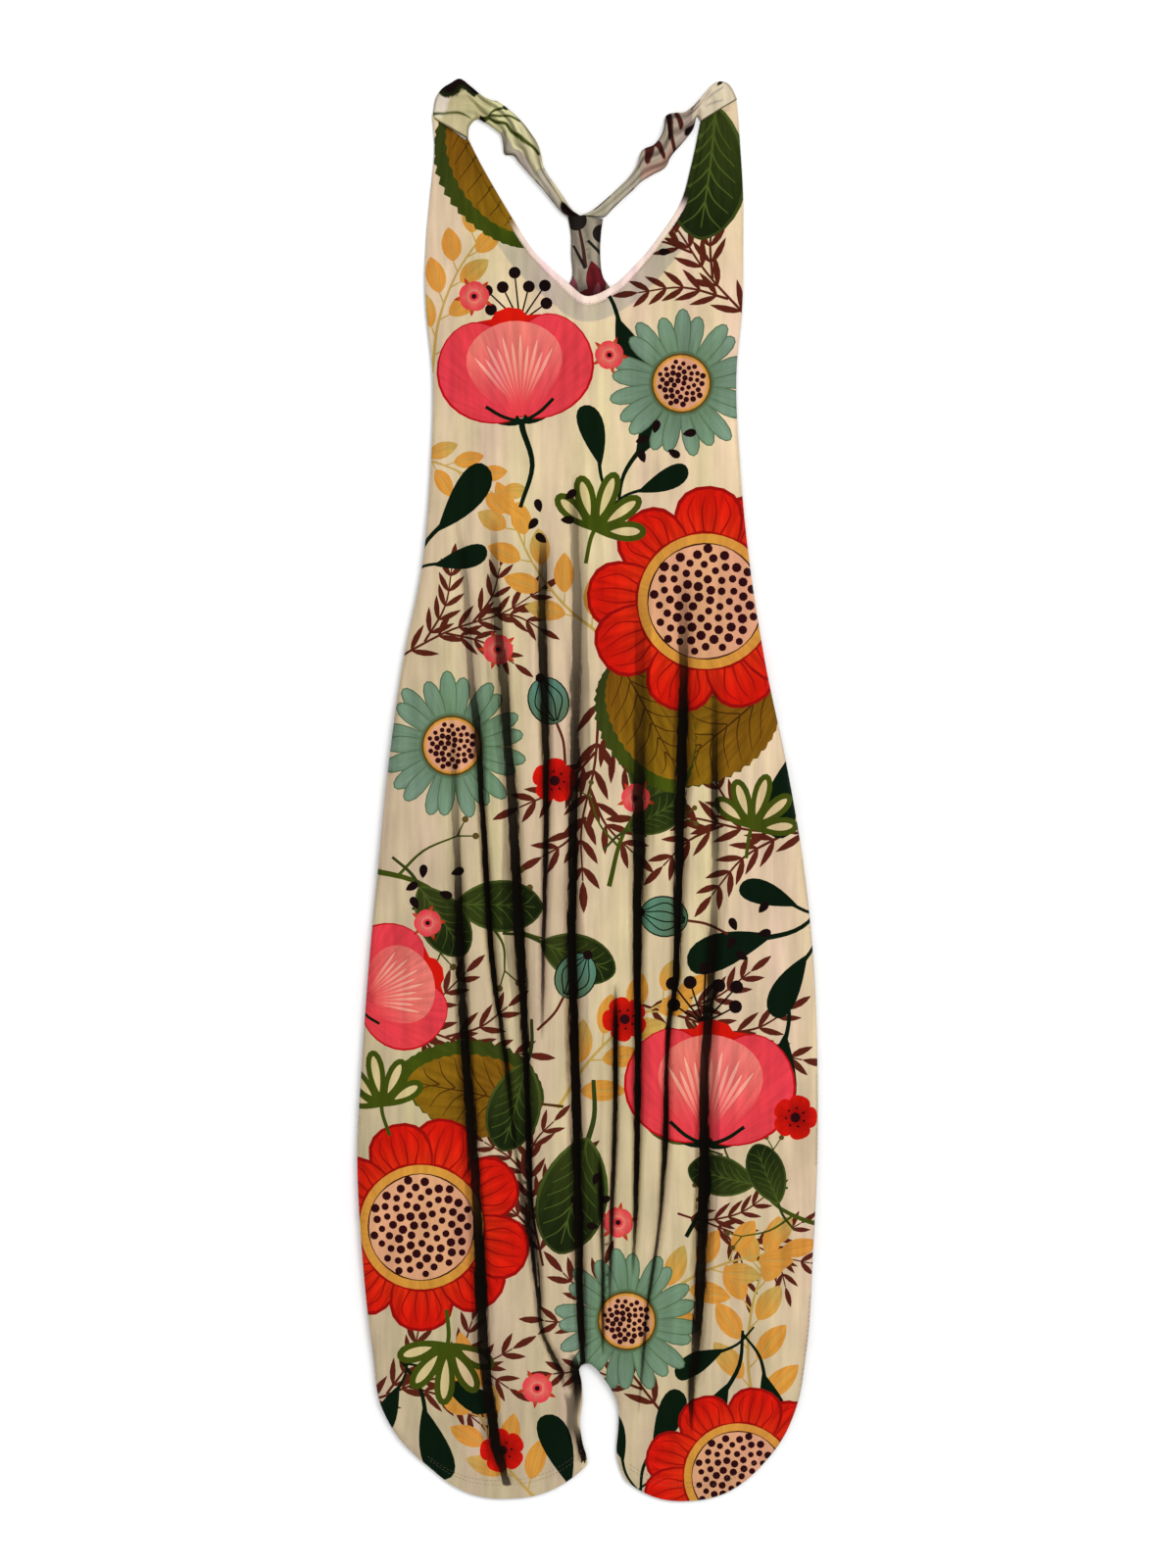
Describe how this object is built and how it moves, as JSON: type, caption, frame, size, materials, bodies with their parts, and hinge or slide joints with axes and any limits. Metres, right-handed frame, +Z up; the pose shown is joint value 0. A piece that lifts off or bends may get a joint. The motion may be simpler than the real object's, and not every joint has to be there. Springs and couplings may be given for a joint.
{
  "type": "romper",
  "caption": "Long, loose V-neck romper with cocoon-shaped legs, twisted straps and a racerback bar, laid flat with soft lengthwise folds.",
  "frame": {"origin": "centre of the box's underside, on the surface that the garment lies on", "axes": "+Y along the garment from the hems to the neck, +Z up out of its front, +X to the right as one looks down at it"},
  "size_m": [0.4219, 1.3042, 0.0176],
  "materials": {
    "printed_cloth": "smooth light jersey with a flower print",
    "printed_cloth_wrong_side": "wrong side of the same jersey, paler and greyer",
    "binding": "plain pale jersey binding",
    "strap_cloth": "twisted jersey, right and wrong sides showing"
  },
  "bodies": {
    "root": {"front": "printed_cloth", "back": "printed_cloth_wrong_side", "neck_binding": "binding", "strap_left": "strap_cloth", "strap_right": "strap_cloth"}
  },
  "joints": []
}
